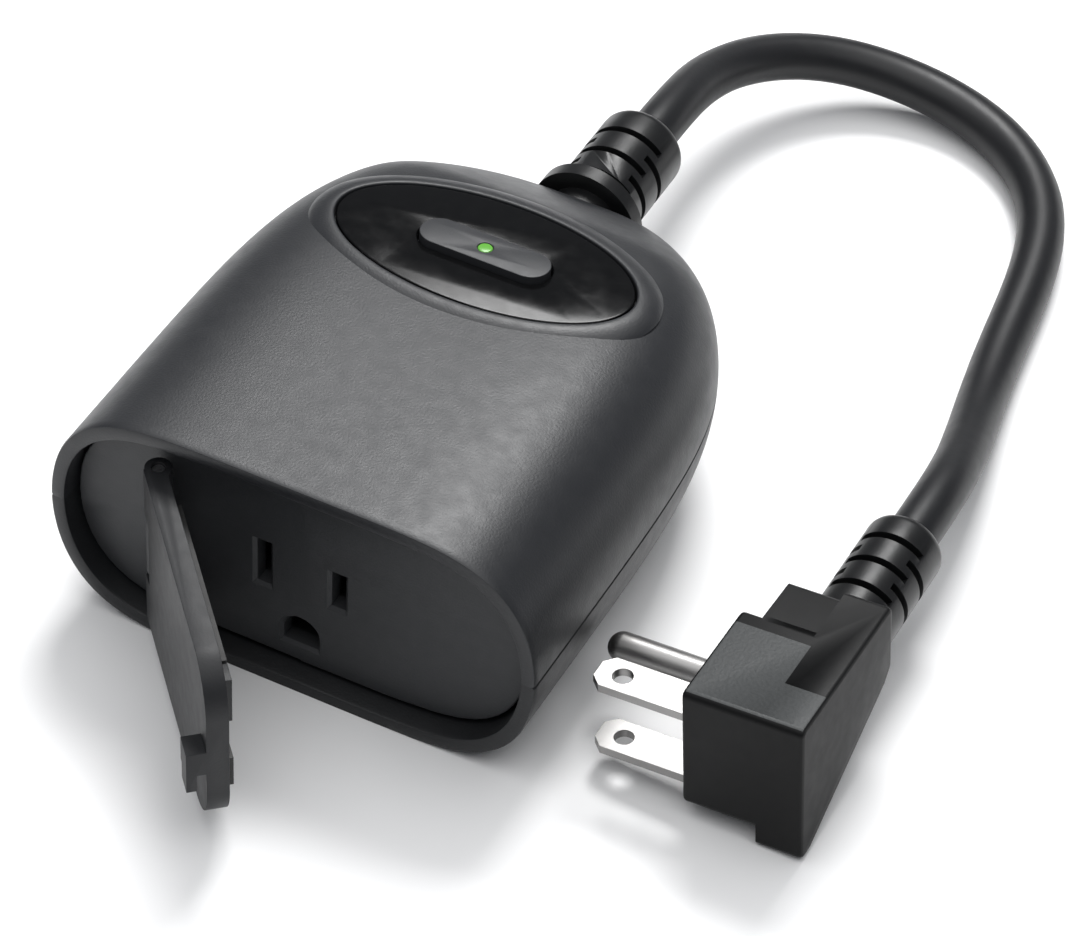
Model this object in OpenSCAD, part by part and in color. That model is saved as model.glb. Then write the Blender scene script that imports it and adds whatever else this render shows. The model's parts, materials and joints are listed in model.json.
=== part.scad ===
// Outdoor smart plug: a flat bullet-shaped housing with one grounded outlet under a hinged cover,
// a push button with a status light, a short cord and a right-angle three-pin plug.
// The origin is the centre of the underside, +Y points to the cord and +Z is up.

/* [Housing] */
// Width of the housing at the outlet end
body_w = 82; // [78:1:100]
// Length of the housing
body_l = 97; // [95:1:118]
// Height of the housing
body_h = 42; // [41:1:52]
// Wall of both shells
wall = 2.4; // [2:0.1:2.8]
// How far the outlet plate sits back from the rim
face_recess = 3.5; // [2.5:0.5:4.5]
// Thickness of the outlet plate
plate_t = 3; // [2.4:0.2:3.6]
// Gap all round the outlet plate
plate_gap = 0.5; // [0.3:0.1:0.8]
// Width of the rubber cord between the shells
seal_w = 1; // [0.8:0.1:1.2]

/* [Outlet] */
// Distance between the two blade slots, centre to centre
blade_pitch = 12.7; // [12.7]
// Distance from the line of the blades to the centre of the ground pin
ground_offset = 11.9; // [11.9]
// Width of a blade slot
slot_w = 2.4; // [2.2:0.1:2.8]
// Height of the neutral slot
neutral_slot_h = 8.7; // [8.4:0.1:9.2]
// Height of the hot slot
hot_slot_h = 7.1; // [6.9:0.1:7.6]
// Width of the ground hole
ground_hole_w = 6; // [5.6:0.1:6.4]
// Height of the outlet's centre below the joint of the shells
outlet_drop = 6.5; // [5:0.5:7]
// Depth of the block behind the plate that holds the contacts
housing_depth = 20; // [18:1:24]

/* [Cover] */
// Length of the cover from its hinge axis to its free end
cover_l = 45; // [40:1:50]
// Height of the cover
cover_h = 31; // [28:1:32]
// Thickness of the cover
cover_t = 3.4; // [2.8:0.2:3.6]
// Angle at which the cover stands open
cover_open = 48; // [0:1:90]
// Distance from the middle of the outlet to the hinge axis
hinge_offset = 22.5; // [21.5:0.5:24]
// Diameter of the hinge pin
hinge_pin_d = 2; // [1.6:0.2:2.4]

/* [Button] */
// Length of the oval panel, side to side
panel_w = 50; // [46:1:56]
// Width of the oval panel, front to back
panel_l = 26; // [22:1:28]
// Distance from the rim of the outlet end to the middle of the panel
panel_back = 60.7; // [58:0.1:64]
// Lean of the panel towards the cord
panel_tilt = 5; // [0:1:8]
// Length of the button
button_w = 22; // [18:1:24]
// Width of the button
button_l = 6.6; // [6:0.2:8]
// How far the button stands above the panel
button_rise = 1; // [0.6:0.2:1.6]
// Travel of the button
button_travel = 0.5; // [0.3:0.1:0.6]

/* [Cord and plug] */
// Diameter of the cord
cord_d = 8; // [8]
// Diameter of the strain relief at the housing
boot_d = 14.6; // [13:0.1:15.5]
// Diameter of the strain relief at the plug
plug_boot_d = 12.6; // [12:0.1:14]
// Width of a groove round a strain relief
groove_w = 1.3; // [1:0.1:1.6]
// Depth of the plug body behind its face
plug_depth = 19.5; // [19:0.5:21]
// Length of the plug's face
plug_face_l = 20.5; // [20.5:0.5:24]
// Height of the plug with its back flange
plug_h = 26.4; // [26.4]
// How far the back flange hangs below the plug's block at its front end
flange_drop = 3.6; // [3:0.1:4.2]
// Length of the blades
blade_l = 16; // [15.9:0.1:18.2]
// Width of a blade
blade_w = 6.35; // [6.3:0.05:6.4]
// Thickness of a blade
blade_t = 1.5; // [1.4:0.05:1.6]
// Length of the ground pin
ground_pin_l = 20.3; // [19.1:0.1:21.2]
// Diameter of the ground pin
ground_pin_d = 4.8; // [4.7:0.05:4.85]

/* [Boards] */
// Thickness of both circuit boards
board_t = 1.6; // [1.2:0.2:1.6]
// Length of the power board, front to back
power_l = 40; // [38:1:42]
// Width of the power board
power_w = 54; // [52:1:56]
// Depth of the power board's underside below the joint of the shells
board_drop = 13.5; // [13.3:0.1:14]
// Diameter of the case screws
case_screw_d = 3; // [2.5:0.1:3.2]
// Diameter of the board screws
board_screw_d = 2; // [1.8:0.1:2.2]

/* [Hidden] */

touch = 0.02;
slack = 0.3;
run_fit = 0.05;

// Shape of the housing: t runs from 0 at the outlet end to 1 at the nose
plan_power = 5.5;
plan_round = 1.5;
side_power = 5.1;
nose_start = 0.8;
nose_drop = 0.38;
crown_power = 5.6;
under_depth = 0.4;
nose_cut = 1.5;
t_end = 1 - nose_cut / body_l;
sections = 22;
half_points = 24;

part_z = body_h / 2;
front_y = -body_l / 2;
nose_y = front_y + body_l - nose_cut;
plate_y = front_y + face_recess;
power_gap = 31;
plate_back = plate_y + plate_t;
outlet_z = part_z - outlet_drop;
slots_z = outlet_z + ground_offset / 2;
ground_z = outlet_z - ground_offset / 2;

function plan_fall(t) = pow(1 - pow(t, plan_power), 1 / plan_round);
function side_fall(t) = sqrt(1 - pow(t, side_power));
function nose_fall(t) = 1 - nose_drop * max(0, (t - nose_start) / (1 - nose_start));
function power_cos(a, n) = sign(cos(a)) * pow(abs(cos(a)), 2 / n);
function crown(x, hw) = sqrt(1 - pow(min(1, abs(x) / hw), crown_power));

// One half section: the angle runs from the right edge over the crown to the left edge
function half_section(y, hw, hh, side) = [for (i = [0 : half_points])
    [hw * power_cos(180 * i / half_points, crown_power), y,
        part_z + side * hh * sin(180 * i / half_points)]];

// Rings of one half of the housing, inset all round, starting before the front by lead
function half_rings(inset, nose_inset, side, lead) = let (
        len = body_l - nose_inset,
        hw = body_w / 2 - inset,
        hh = (side > 0 ? part_z : part_z + under_depth) - inset)
    concat(
        lead > 0 ? [half_section(front_y - lead, hw, hh, side)] : [],
        [for (i = [0 : sections]) let (t = t_end * sin(90 * i / sections))
            half_section(front_y + t * len, hw * plan_fall(t),
                hh * side_fall(t) * (side > 0 ? nose_fall(t) : 1), side)]);

// Closed solid through a list of rings with equal numbers of points
module loft(rings, flip) {
    n = len(rings[0]);
    last = len(rings) - 1;
    points = [for (r = rings) for (p = r) p];
    walls = [for (k = [0 : last - 1]) for (i = [0 : n - 1]) let (j = (i + 1) % n, a = k * n, b = a + n)
        each [[a + i, a + j, b + j], [a + i, b + j, b + i]]];
    first_cap = [for (i = [n - 1 : -1 : 0]) i];
    last_cap = [for (i = [0 : n - 1]) last * n + i];
    faces = concat(walls, [first_cap], [last_cap]);
    polyhedron(points, flip ? [for (f = faces) [for (i = [len(f) - 1 : -1 : 0]) f[i]]] : faces);
}

module half_body(inset, nose_inset, side, lead) {
    loft(half_rings(inset, nose_inset, side, lead), side < 0);
}

// Outline of the outlet end, drawn in X and Z
module face_outline(inset) {
    hw = body_w / 2 - inset;
    hh = part_z - inset;
    polygon([for (i = [0 : 2 * half_points - 1]) let (a = 180 * i / half_points)
        [hw * power_cos(a, crown_power), hh * sin(a)]]);
}

// Slab with the outlet end's outline, from y to y + t
module face_slab(inset, y, t) {
    translate([0, y + t, part_z]) rotate([90, 0, 0]) linear_extrude(t) face_outline(inset);
}

module halfspace(side) {
    size = 2 * (body_w + body_l);
    translate([-size / 2, -size / 2, side > 0 ? part_z : part_z - size]) cube(size);
}

// Ledge that the outlet plate rests on
ledge_w = 1.4;
ledge_t = 1.8;
module ledge() {
    difference() {
        face_slab(wall - 1, plate_back, ledge_t);
        face_slab(wall + ledge_w, plate_back - 1, ledge_t + 2);
    }
}

// Box centred in X on x, from y and z upwards
module block(x, y, z, size) {
    translate([x - size[0] / 2, y, z]) cube(size);
}

module y_cylinder(r, y0, y1, z, x = 0) {
    translate([x, y0, z]) rotate([-90, 0, 0]) cylinder(r = r, h = y1 - y0, $fn = 64);
}

// Pill outline, w long in X and l wide in Y
module pill(w, l) {
    square([w - l, l], center = true);
    for (s = [-1, 1]) translate([s * (w - l) / 2, 0]) circle(d = l, $fn = 64);
}

module oval(w, l) {
    polygon([for (i = [0 : 71]) [w / 2 * cos(i * 5), l / 2 * sin(i * 5)]]);
}

// Case screws: two near the outlet plate, two near the nose
screw_r = case_screw_d / 2;
screw_boss_r = screw_r + 2.3;
screw_head_r = screw_r + 1.3;
screw_l = 22;
screw_head_h = 2.4;
front_seat = 5.5;
rear_seat = 9.5;
board_end = front_y + power_gap + power_l;
front_screw = [body_w / 2 - 11, front_y + 14.5, front_seat];
rear_screw = [body_w / 2 - 18.5, board_end + screw_boss_r + slack, rear_seat];
screw_places = [for (p = [front_screw, rear_screw]) for (s = [-1, 1]) [s * p[0], p[1], p[2]]];

module screw_bosses(side) {
    for (p = screw_places) translate([p[0], p[1], side > 0 ? part_z : 0])
        cylinder(r = screw_boss_r, h = part_z, $fn = 48);
}

// Strain relief at the housing: a flange held in a pocket, a neck through the nose and a collar outside
cord_r = cord_d / 2;
cord_z = part_z;
boot_r = boot_d / 2;
collar_r = boot_r + 1.9;
neck_r = boot_r - 1;
neck_l = 7.6;
flange_r = boot_r + 1.6;
flange_t = 3.4;
flange_y = nose_y - neck_l - flange_t;
collar_t = 2.6;
boot_y = nose_y;
boot_l = 22;

module boot_hole() {
    y_cylinder(neck_r + touch, nose_y - neck_l - 1, nose_y + 2, cord_z);
    y_cylinder(flange_r + touch, flange_y - 6, flange_y + flange_t + touch, cord_z);
}

// Panel group: its own frame, with z = 0 on the housing's top at the middle of the panel
panel_y = front_y + panel_back;
panel_at = panel_back / body_l;
panel_z = part_z + part_z * side_fall(panel_at) * nose_fall(panel_at);
panel_t = 1.75;
pocket_deep = 1.9;
pad_w = 2.2;
pad_deep = 3;
floor_t = 2.2;
floor_w = -pocket_deep - floor_t;
panel_top = panel_t - pocket_deep;
button_under = -pocket_deep - 0.2;
button_flange_t = 0.9;
stem_x = 6;
stem_r = 1.5;
stem_end = -6.4;
guide_r = 1.2;
guide_end = -7.6;
button_seal_t = 0.8;
plunger_r = 1.2;
plunger_end = -8.4;
switch_top = -8;
switch_size = 6;
board_top = -11.2;
led_top = -8.7;
control_w = 34;
control_l = 21;
control_post_x = 14;
control_post_y = 8;
control_post_r = 2.2;

module on_panel() {
    translate([0, panel_y, panel_z]) rotate([-panel_tilt, 0, 0]) children();
}

module slab(z0, z1) {
    translate([0, 0, z0]) linear_extrude(z1 - z0) children();
}

// Low oval rim that frames the panel
module panel_pad() {
    on_panel() slab(-pad_deep, 0) oval(panel_w + 2 * pad_w, panel_l + 2 * pad_w);
}

module panel_floor() {
    on_panel() {
        slab(floor_w, 0) oval(panel_w + 4, panel_l + 3);
        for (x = [-1, 1], y = [-1, 1]) translate([x * control_post_x, y * control_post_y, board_top])
            cylinder(r = control_post_r, h = -board_top, $fn = 40);
    }
}

module panel_cuts() {
    on_panel() {
        slab(-pocket_deep, 6) oval(panel_w + 2 * slack, panel_l + 2 * slack);
        slab(floor_w - 8, 0) pill(button_w + 3, button_l + 3);
        for (x = [-1, 1], y = [-1, 1])
            translate([x * control_post_x, y * control_post_y, board_top - 1])
                cylinder(r = board_screw_d / 2 + touch, h = 5, $fn = 32);
    }
}

module upper_shell() {
    color("#45474a") difference() {
        union() {
            half_body(0, 0, 1, 0);
            panel_pad();
        }
        difference() {
            half_body(wall, wall, 1, 2);
            intersection() {
                ledge();
                halfspace(1);
            }
            screw_bosses(1);
            panel_floor();
        }
        panel_cuts();
        boot_hole();
        for (p = screw_places) translate([p[0], p[1], part_z - 1])
            cylinder(r = screw_r + touch, h = p[2] + screw_l - part_z + 2, $fn = 32);
    }
}

// Power board and its posts
power_y = front_y + power_gap;
post_h = part_z - board_drop;
power_z = post_h + board_t;
post_x = power_w / 2 - 3;
post_inset = 12;
post_places = [for (x = [-1, 1], y = [4, power_l - post_inset]) [x * post_x, power_y + y]];
post_r = 2.6;

module posts() {
    for (p = post_places) translate([p[0], p[1], 0]) cylinder(r = post_r, h = post_h, $fn = 40);
}

// Path of the rubber cord in the joint, between the plate and the strain relief
seal_h = 1.2;
seal_from = 0.1;
seal_to = 0.925;
seal_steps = 24;
function seal_point(inset, k) = let (t = sin(asin(seal_from) + (asin(seal_to) - asin(seal_from)) * k))
    [(body_w / 2 - inset) * plan_fall(t), front_y + t * (body_l - inset)];

module seal_path(w, h) {
    mid = wall / 2;
    for (s = [-1, 1]) scale([s, 1, 1]) translate([0, 0, part_z - h]) linear_extrude(h)
        polygon(concat([for (k = [0 : seal_steps]) seal_point(mid - w / 2, k / seal_steps)],
            [for (k = [seal_steps : -1 : 0]) seal_point(mid + w / 2, k / seal_steps)]));
}

module lower_shell() {
    color("#3d3f42") difference() {
        half_body(0, 0, -1, 0);
        difference() {
            half_body(wall, wall, -1, 2);
            intersection() {
                ledge();
                halfspace(-1);
            }
            screw_bosses(-1);
            posts();
        }
        translate([-body_w, -body_l, -5]) cube([2 * body_w, 2 * body_l, 5]);
        seal_path(seal_w + 2 * touch, seal_h + touch);
        boot_hole();
        for (p = screw_places) translate([p[0], p[1], -1]) {
            cylinder(r = screw_head_r + slack, h = p[2] + 1, $fn = 40);
            cylinder(r = screw_r + touch, h = body_h, $fn = 32);
        }
        for (p = post_places) translate([p[0], p[1], wall])
            cylinder(r = board_screw_d / 2 + touch, h = body_h, $fn = 32);
    }
}

module shell_seal() {
    color("#202020") seal_path(seal_w, seal_h);
}

// Outlet: plate, housing and contacts
hinge_x = -hinge_offset;
cover_seal_t = 1.2;
cover_gap = slack;
cover_in = -cover_gap - cover_seal_t;
hinge_r = hinge_pin_d / 2 + 1.1;
hinge_y = plate_y - hinge_r - 0.5;
cover_z = part_z - 17.2;
knuckle_h = 12;
knuckle_z = cover_z + (cover_h - knuckle_h) / 2;
stop_size = [3.4, 8.5];
stop_at = [cover_l - 7, cover_h - 12];
rib_size = [2.4, 6];
rib_at = [cover_l - 6.5, cover_h - 19];

// The ground hole: round above and flat below
ground_flat = 2.4;
module ground_outline() {
    r = ground_hole_w / 2;
    difference() {
        union() {
            circle(r = r, $fn = 48);
            translate([-r, -ground_flat]) square([2 * r, ground_flat]);
        }
        translate([-r, -ground_flat - 2 * r]) square([2 * r, 2 * r]);
    }
}

module openings(depth) {
    half_pitch = blade_pitch / 2;
    translate([-half_pitch - slot_w / 2, plate_y - 1, slots_z - neutral_slot_h / 2])
        cube([slot_w, depth, neutral_slot_h]);
    translate([half_pitch - slot_w / 2, plate_y - 1, slots_z - hot_slot_h / 2])
        cube([slot_w, depth, hot_slot_h]);
    translate([0, plate_y - 1 + depth, ground_z]) rotate([90, 0, 0]) linear_extrude(depth) ground_outline();
}

module outlet_plate() {
    color("#3a3c3f") difference() {
        union() {
            face_slab(wall + plate_gap, plate_y, plate_t);
            translate([hinge_x, hinge_y, knuckle_z]) {
                cylinder(r = hinge_r, h = knuckle_h, $fn = 48);
                translate([-hinge_r + 0.6, 0, 0])
                    cube([2 * hinge_r - 1.2, plate_y - hinge_y + 0.5, knuckle_h]);
            }
        }
        translate([hinge_x, hinge_y, knuckle_z - 1])
            cylinder(d = hinge_pin_d + 2 * touch, h = knuckle_h + 2, $fn = 48);
        openings(plate_t + 2);
    }
}

housing_w = 34;
housing_z = wall + ledge_w + slack;
housing_top = 6;
housing_h = part_z + housing_top - housing_z;
housing_y = plate_back + touch;
well_w = 5;
well_h = 10.4;
ground_well = 7.4;
well_depth = housing_depth - 2;
leaf_t = 0.6;
leaf_l = 12;
strap_w = 3.4;
ground_strap_z = ground_z + 2;

module outlet_housing() {
    color("#26272a") difference() {
        block(0, housing_y, housing_z, [housing_w, housing_depth, housing_h]);
        for (s = [-1, 1]) block(s * blade_pitch / 2, housing_y - 1, slots_z - well_h / 2,
            [well_w, well_depth + 1, well_h]);
        block(0, housing_y - 1, ground_z - ground_well / 2, [ground_well, well_depth + 1, ground_well]);
        for (s = [-1, 1]) block(s * blade_pitch / 2, housing_y, slots_z - strap_w / 2,
            [leaf_t + 0.4, housing_depth + 1, strap_w + 0.4]);
        block(0, housing_y + 1, ground_strap_z - 0.2, [strap_w + 0.4, housing_depth, leaf_t + 0.4]);
    }
}

// Blade contact: two leaves that grip the blade and a strap to the power board
module blade_contact(x) {
    back = housing_y + well_depth - 1;
    gap = blade_t + 0.1;
    for (s = [-1, 1]) block(x + s * (gap + leaf_t) / 2, back - leaf_l, slots_z - 4, [leaf_t, leaf_l, 8]);
    block(x, back - leaf_t, slots_z - 4, [gap + 2 * leaf_t, leaf_t, 8]);
    block(x, back - leaf_t / 2, slots_z - strap_w / 2 + 0.2, [leaf_t, power_y + 3 - back, strap_w]);
    block(x, power_y + 3 - strap_w, power_z, [leaf_t, strap_w, slots_z - power_z]);
}

module neutral_contact() {
    color("#c9a24a") blade_contact(-blade_pitch / 2);
}

module hot_contact() {
    color("#c9a24a") blade_contact(blade_pitch / 2);
}

module ground_contact() {
    back = housing_y + well_depth - 1;
    gap = ground_pin_d + 0.1;
    color("#c9a24a") {
        for (s = [-1, 1]) block(s * (gap + leaf_t) / 2, back - leaf_l, ground_z - 3, [leaf_t, leaf_l, 6]);
        block(0, back - leaf_t, ground_z - 3, [gap + 2 * leaf_t, leaf_t, 6]);
        block(0, back - leaf_t / 2, ground_strap_z, [strap_w, power_y + 3 - back, leaf_t]);
        block(0, power_y + 3 - leaf_t, power_z, [strap_w, leaf_t, ground_strap_z - power_z + leaf_t / 2]);
    }
}

// Cover, drawn closed about its hinge axis and then turned open
lip_z = cover_z + 12.5;
lip_size = [4, 3, 4.6];
tongue_size = [3.3, 1.6, 3.2];
stop_reach = cover_seal_t;
rib_reach = 0.6;

module on_hinge() {
    translate([hinge_x, hinge_y, 0]) rotate([0, 0, -cover_open]) children();
}

cover_back = plate_y + cover_in - hinge_y;
cover_corner = 8;

module cover_outline() {
    r = cover_corner;
    x0 = 0;
    x1 = cover_l - r;
    z1 = cover_h - r;
    translate([x0, 0]) square([x1, cover_h]);
    translate([x1 - 1, r]) square([r + 1, cover_h - 2 * r]);
    for (z = [r, z1]) translate([x1, z]) circle(r = r, $fn = 64);
}

module outlet_cover() {
    color("#505356") on_hinge() translate([0, 0, cover_z]) difference() {
        union() {
            translate([0, cover_back, 0]) rotate([90, 0, 0]) linear_extrude(cover_t) cover_outline();
            cylinder(r = hinge_r, h = cover_h, $fn = 48);
            translate([cover_l - lip_size[0], cover_back - cover_t - lip_size[1], lip_z - cover_z])
                cube([lip_size[0], lip_size[1] + 0.5, lip_size[2]]);
            translate([cover_l - tongue_size[0], cover_back - cover_t - lip_size[1],
                lip_z - cover_z - tongue_size[2]])
                cube([tongue_size[0], tongue_size[1], tongue_size[2] + 0.5]);
            translate([stop_at[0], cover_back - 0.5, stop_at[1]])
                cube([stop_size[0], 0.5 + stop_reach, stop_size[1]]);
            translate([rib_at[0], cover_back - 0.5, rib_at[1]])
                cube([rib_size[0], 0.5 + rib_reach, rib_size[1]]);
        }
        translate([-hinge_r - 1, -hinge_r - 2, knuckle_z - cover_z - slack])
            cube([2 * hinge_r + 1.6, 2 * hinge_r + 4, knuckle_h + 2 * slack]);
        translate([0, 0, -1]) cylinder(d = hinge_pin_d + 2 * run_fit, h = cover_h + 2, $fn = 48);
        translate([-hinge_r - 1, hinge_r, -1]) cube([2 * hinge_r + 1, 4, cover_h + 2]);
    }
}

module cover_pin() {
    color("#b8babd") translate([hinge_x, hinge_y, cover_z + 0.5])
        cylinder(d = hinge_pin_d, h = cover_h - 1, $fn = 48);
}

module cover_seal() {
    inset = 3.2;
    color("#1c1c1d") on_hinge() translate([0, cover_back + cover_seal_t + touch, cover_z])
        rotate([90, 0, 0]) linear_extrude(cover_seal_t) difference() {
            translate([hinge_r + inset, 0]) difference() {
                translate([0, inset]) square([cover_l - hinge_r - 2 * inset, cover_h - 2 * inset]);
                for (z = [inset, cover_h - inset]) translate([cover_l - hinge_r - 2 * inset, z])
                    rotate(45) square(4, center = true);
            }
            translate([rib_at[0] - slack, rib_at[1] - slack])
                square([cover_l, stop_at[1] + stop_size[1] - rib_at[1] + 2 * slack]);
            translate([stop_at[0] - slack, stop_at[1] - slack])
                square([stop_size[0] + 2 * slack, stop_size[1] + 2 * slack]);
        }
}

// Panel, button and control board
module control_panel() {
    color("#101112") on_panel() slab(-pocket_deep + touch, panel_top) difference() {
        oval(panel_w, panel_l);
        pill(button_w + 2 * slack, button_l + 2 * slack);
    }
}

module button() {
    color("#55585b") on_panel() difference() {
        union() {
            slab(button_under, panel_top + button_rise) pill(button_w, button_l);
            slab(button_under - button_flange_t, button_under) pill(button_w + 2, button_l + 2);
            translate([stem_x, 0, stem_end]) cylinder(r = stem_r, h = -stem_end - 2.5, $fn = 40);
        }
        translate([0, 0, -10]) cylinder(r = guide_r + touch, h = 20, $fn = 40);
    }
}

module light_guide() {
    color("#7ac943") on_panel() translate([0, 0, guide_end])
        cylinder(r = guide_r, h = panel_top + button_rise - guide_end, $fn = 40);
}

module button_seal() {
    color("#2b2b2d") on_panel() slab(floor_w - button_seal_t - touch, floor_w - touch) difference() {
        pill(button_w + 5, button_l + 5);
        circle(r = guide_r + 2 * slack, $fn = 40);
        translate([stem_x, 0]) circle(r = stem_r + slack, $fn = 40);
    }
}

module switch_base() {
    color("#1f2022") on_panel() translate([stem_x, 0, 0]) difference() {
        slab(board_top, switch_top) square(switch_size, center = true);
        translate([0, 0, plunger_end - button_travel - 0.5]) cylinder(r = plunger_r + slack, h = 3, $fn = 40);
    }
}

module switch_plunger() {
    color("#c8c8c4") on_panel() translate([stem_x, 0, plunger_end])
        cylinder(r = plunger_r, h = stem_end - plunger_end, $fn = 40);
}

module status_led() {
    color("#dff0d0") on_panel() slab(board_top, led_top) square([2.4, 2], center = true);
}

module control_board() {
    color("#1d5a38") on_panel() slab(board_top - board_t, board_top - touch) difference() {
        square([control_w, control_l], center = true);
        for (x = [-1, 1], y = [-1, 1]) translate([x * control_post_x, y * control_post_y])
            circle(d = board_screw_d + 2 * touch, $fn = 32);
    }
}

module radio_module() {
    color("#a8abad") on_panel() {
        slab(board_top - board_t - 3, board_top - board_t - 0.8) translate([-6, -6]) square([12, 12]);
        slab(board_top - board_t - 0.8, board_top - board_t) translate([-6.5, -6.5]) square([16, 13]);
    }
}

module power_board() {
    color("#1d5a38") difference() {
        block(0, power_y, post_h + touch, [power_w, power_l, board_t - touch]);
        for (p = post_places) translate([p[0], p[1], 0])
            cylinder(d = board_screw_d + 2 * touch, h = 20, $fn = 32);
    }
}

// Places of the parts on the power board, from its front left corner
module on_power(x, y) {
    translate([-power_w / 2 + x, power_y + y, power_z]) children();
}

module relay() {
    color("#2463a8") on_power(5, 7) cube([19, 15.4, 15.4]);
}

module transformer() {
    color("#c8b878") on_power(33, 12) {
        cube([15, 4, 13]);
        translate([0, 10, 0]) cube([15, 4, 13]);
        translate([2, 3, 2]) cube([11, 8, 9]);
    }
}

module bulk_capacitors() {
    color("#26282c") for (x = [38, 47]) on_power(x, 34.5) cylinder(d = 8, h = 14, $fn = 48);
}

module line_capacitor() {
    color("#d8a030") on_power(7, 24.5) cube([13, 5.4, 11]);
}

module fuse() {
    color("#d8d4c8") on_power(22, 27) translate([0, 0, 2.4]) rotate([0, 90, 0]) {
        cylinder(d = 3.6, h = 10, $fn = 40);
        for (x = [0, 8]) translate([0, 0, x]) cylinder(d = 4.8, h = 2, $fn = 40);
    }
}

module varistor() {
    color("#3060b0") on_power(7, 32.6) translate([0, 3.4, 5]) rotate([90, 0, 0])
        cylinder(d = 9, h = 3.4, $fn = 48);
}

module choke() {
    color("#404a30") on_power(42, 6) difference() {
        cylinder(d = 11, h = 5.4, $fn = 56);
        translate([0, 0, -1]) cylinder(d = 5, h = 8, $fn = 48);
    }
}

module rectifier() {
    color("#1c1c1e") on_power(26.5, 4) cube([5, 5, 2.5]);
}

terminal_w = 15;
terminal_l = 8;
terminal_h = 9;
terminal_pitch = 5;
terminal_x = 14;
module screw_terminals() {
    color("#2a8a4a") on_power(terminal_x, power_l - terminal_l) difference() {
        cube([terminal_w, terminal_l, terminal_h]);
        for (i = [0 : 2]) translate([terminal_pitch * (i + 0.5), 0, 0]) {
            translate([0, 3, 6]) cylinder(d = 3.6, h = 6, $fn = 40);
            translate([0, 4, 3]) rotate([-90, 0, 0]) cylinder(d = 2.8, h = 8, $fn = 40);
        }
    }
}

module board_header() {
    color("#151515") on_power(28.5, 10.5) cube([2.5, 12, 8.5]);
}

// Uniform cubic spline along a list of points: it starts and ends on the end points
function ends_out(p) = let (n = len(p)) concat([2 * p[0] - p[1]], p, [2 * p[n - 1] - p[n - 2]]);
function spline_at(q, i, u) = (q[i] * pow(1 - u, 3) + q[i + 1] * (3 * pow(u, 3) - 6 * u * u + 4)
    + q[i + 2] * (-3 * pow(u, 3) + 3 * u * u + 3 * u + 1) + q[i + 3] * pow(u, 3)) / 6;
function spline(p, steps) = let (q = ends_out(p), n = len(p))
    concat([for (i = [0 : n - 2]) for (k = [0 : steps - 1]) spline_at(q, i, k / steps)], [p[n - 1]]);
function unit(v) = v / norm(v);
function direction(c, i) = let (n = len(c)) unit(c[min(i + 1, n - 1)] - c[max(i - 1, 0)]);
function tube_rings(c, first, last, r, sides) = let (n = len(c))
    [for (i = [0 : n - 1]) let (
            d = i == 0 ? first : i == n - 1 ? last : direction(c, i),
            s = unit(cross(d, [0, 0, 1])),
            u = cross(s, d))
        [for (k = [0 : sides - 1]) let (a = 360 * k / sides) c[i] + r * (s * cos(a) + u * sin(a))]];

// Route of the cord: out of the housing's strain relief, down to the surface, round a loop
// and up into the plug's strain relief
cord_route = [[0, 69, 21], [0, 75, 21], [-0.5, 84, 19.5], [-1, 95, 16.5], [2.5, 107.5, 13], [12, 118, 9.5],
    [26, 122.5, 6], [40, 120.5, 4.5], [51.5, 113, 4], [59, 101.5, 4], [62.5, 87, 4], [64.5, 71, 4],
    [67.5, 55, 5], [71.5, 39, 9.5], [73.5, 25, 14], [73.5, 12.5, 14.3]];

module cord() {
    color("#2c2d2f") loft(tube_rings(spline(cord_route, 1), [0, 1, 0], [0, -1, 0], cord_r, 12), false);
}

// Wires inside, from the strain relief to the terminals
wire_r = 1.2;
wire_gap = 3.2;
module wire(i) {
    from = [(i - 1) * wire_gap, flange_y - touch, cord_z];
    to = [-power_w / 2 + terminal_x + terminal_pitch * (i + 0.5), power_y + power_l + touch, power_z + 3];
    route = [from, from - [0, 2, 0], from - [0, 4, 1], to + [0, 3, 1], to + [0, 1.5, 0], to];
    loft(tube_rings(spline(route, 2), [0, -1, 0], [0, -1, 0], wire_r, 8), false);
}

module live_wire() {
    color("#1a1a1a") wire(0);
}

module neutral_wire() {
    color("#e8e8e4") wire(1);
}

module ground_wire() {
    color("#2f9a48") wire(2);
}

module case_screws() {
    color("#8f9296") for (p = screw_places) translate(p) difference() {
        union() {
            translate([0, 0, -screw_head_h]) cylinder(r = screw_head_r, h = screw_head_h, $fn = 40);
            cylinder(r = screw_r, h = screw_l, $fn = 32);
        }
        translate([0, 0, -screw_head_h - 1]) cylinder(r = 1.3, h = 2.4, $fn = 6);
    }
}

module pan_screw(length) {
    translate([0, 0, 0]) cylinder(r = board_screw_d / 2 + 0.8, h = 1.3, $fn = 32);
    translate([0, 0, -length]) cylinder(r = board_screw_d / 2, h = length + 0.5, $fn = 32);
}

module board_screws() {
    color("#9a9da0") {
        for (p = post_places) translate([p[0], p[1], power_z]) pan_screw(board_t + 3);
        on_panel() for (x = [-1, 1], y = [-1, 1])
            translate([x * control_post_x, y * control_post_y, board_top - board_t]) rotate([180, 0, 0])
                pan_screw(board_t + 3);
    }
}

// Strain relief: a ringed sleeve along +Y, with grooves in quarter turns
groove_arc = 104;
groove_deep = 1.9;
groove_pitch = 5.6;
module groove(r, y, turn) {
    translate([0, y, 0]) rotate([-90, 0, 0]) rotate([0, 0, turn - groove_arc / 2])
        rotate_extrude(angle = groove_arc, $fn = 72)
            translate([r - groove_deep, 0]) square([groove_deep + 1, groove_w]);
}

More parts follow.
